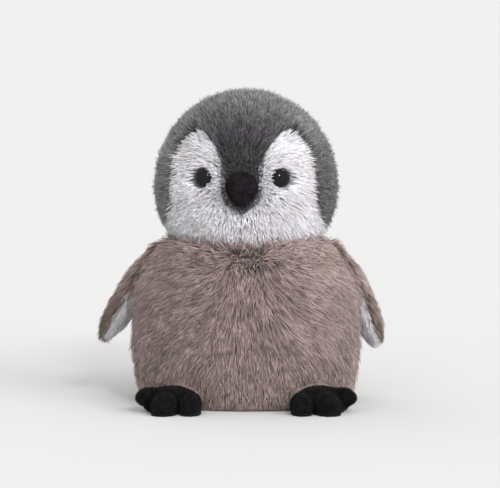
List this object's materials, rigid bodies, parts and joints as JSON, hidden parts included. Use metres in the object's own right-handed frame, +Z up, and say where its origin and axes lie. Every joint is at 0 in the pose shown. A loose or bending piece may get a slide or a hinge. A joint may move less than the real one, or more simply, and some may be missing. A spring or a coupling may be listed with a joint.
{
  "type": "plush penguin",
  "caption": "Sitting plush penguin chick with a round grey head, white face patches, a brown furry body, limp flippers and flat black feet.",
  "frame": {"origin": "middle of the flat base under the body, at ground level on the body's centre line", "axes": "+Z up, the penguin faces -Y, its own left side is +X"},
  "size_m": [0.1719, 0.1377, 0.191],
  "materials": {
    "body_fur": "long-pile taupe-brown plush fur",
    "head_fur": "medium-pile charcoal-grey plush fur",
    "white_fur": "dense soft white plush fur",
    "velour": "black short-pile velour",
    "eye_gloss": "polished black safety eye",
    "eye_washer": "natural moulded plastic washer",
    "fibrefill": "white polyester fibre filling",
    "pouch_cloth": "plain woven cotton pouch filled with plastic pellets",
    "thread": "grey polyester sewing thread",
    "label_satin": "blank white satin ribbon"
  },
  "bodies": {
    "torso": {"body_front_left": "body_fur", "body_front_right": "body_fur", "body_back_left": "body_fur", "body_back_right": "body_fur", "body_base": "body_fur", "pellet_pouch": "pouch_cloth", "body_stuffing": "fibrefill", "care_label": "label_satin"},
    "neck": {"neck_stitching": "thread"},
    "head": {"head_gusset": "head_fur", "head_side_left": "head_fur", "head_side_right": "head_fur", "face_patch_left": "white_fur", "face_patch_right": "white_fur", "eye_left": "eye_gloss", "eye_right": "eye_gloss", "eye_washer_left": "eye_washer", "eye_washer_right": "eye_washer", "head_stuffing": "fibrefill", "beak_cover": "velour", "beak_stuffing": "fibrefill"},
    "flipper_left": {"flipper_left_outer": "body_fur", "flipper_left_inner": "white_fur", "flipper_left_stuffing": "fibrefill"},
    "flipper_right": {"flipper_right_outer": "body_fur", "flipper_right_inner": "white_fur", "flipper_right_stuffing": "fibrefill"},
    "foot_left": {"foot_left_upper": "velour", "foot_left_sole": "velour", "foot_left_stuffing": "fibrefill"},
    "foot_right": {"foot_right_upper": "velour", "foot_right_sole": "velour", "foot_right_stuffing": "fibrefill"}
  },
  "joints": [
    {"name": "head_turn", "type": "hinge", "parent": "torso", "child": "neck", "pos_m": [0, 0, 0.1335], "axis": [0, 0, 1], "range_deg": [-25, 25], "stiffness_Nm_per_rad": 0.06},
    {"name": "head_nod", "type": "hinge", "parent": "neck", "child": "head", "pos_m": [0, 0, 0.1335], "axis": [0.9986, -0.0523, 0], "range_deg": [-10, 10], "stiffness_Nm_per_rad": 0.06},
    {"name": "flipper_left_flap", "type": "hinge", "parent": "torso", "child": "flipper_left", "pos_m": [0.0512, 0.006, 0.097], "axis": [0.2588, -0.9659, 0], "range_deg": [-5, 75], "stiffness_Nm_per_rad": 0.04},
    {"name": "flipper_right_flap", "type": "hinge", "parent": "torso", "child": "flipper_right", "pos_m": [-0.0512, 0.006, 0.097], "axis": [0.2588, 0.9659, 0], "range_deg": [-5, 75], "stiffness_Nm_per_rad": 0.04},
    {"name": "foot_left_flex", "type": "hinge", "parent": "torso", "child": "foot_left", "pos_m": [0.042, -0.033, 0.003], "axis": [-0.9903, -0.1392, 0], "range_deg": [0, 14], "stiffness_Nm_per_rad": 0.05},
    {"name": "foot_right_flex", "type": "hinge", "parent": "torso", "child": "foot_right", "pos_m": [-0.042, -0.033, 0.003], "axis": [-0.9903, 0.1392, 0], "range_deg": [0, 14], "stiffness_Nm_per_rad": 0.05}
  ]
}
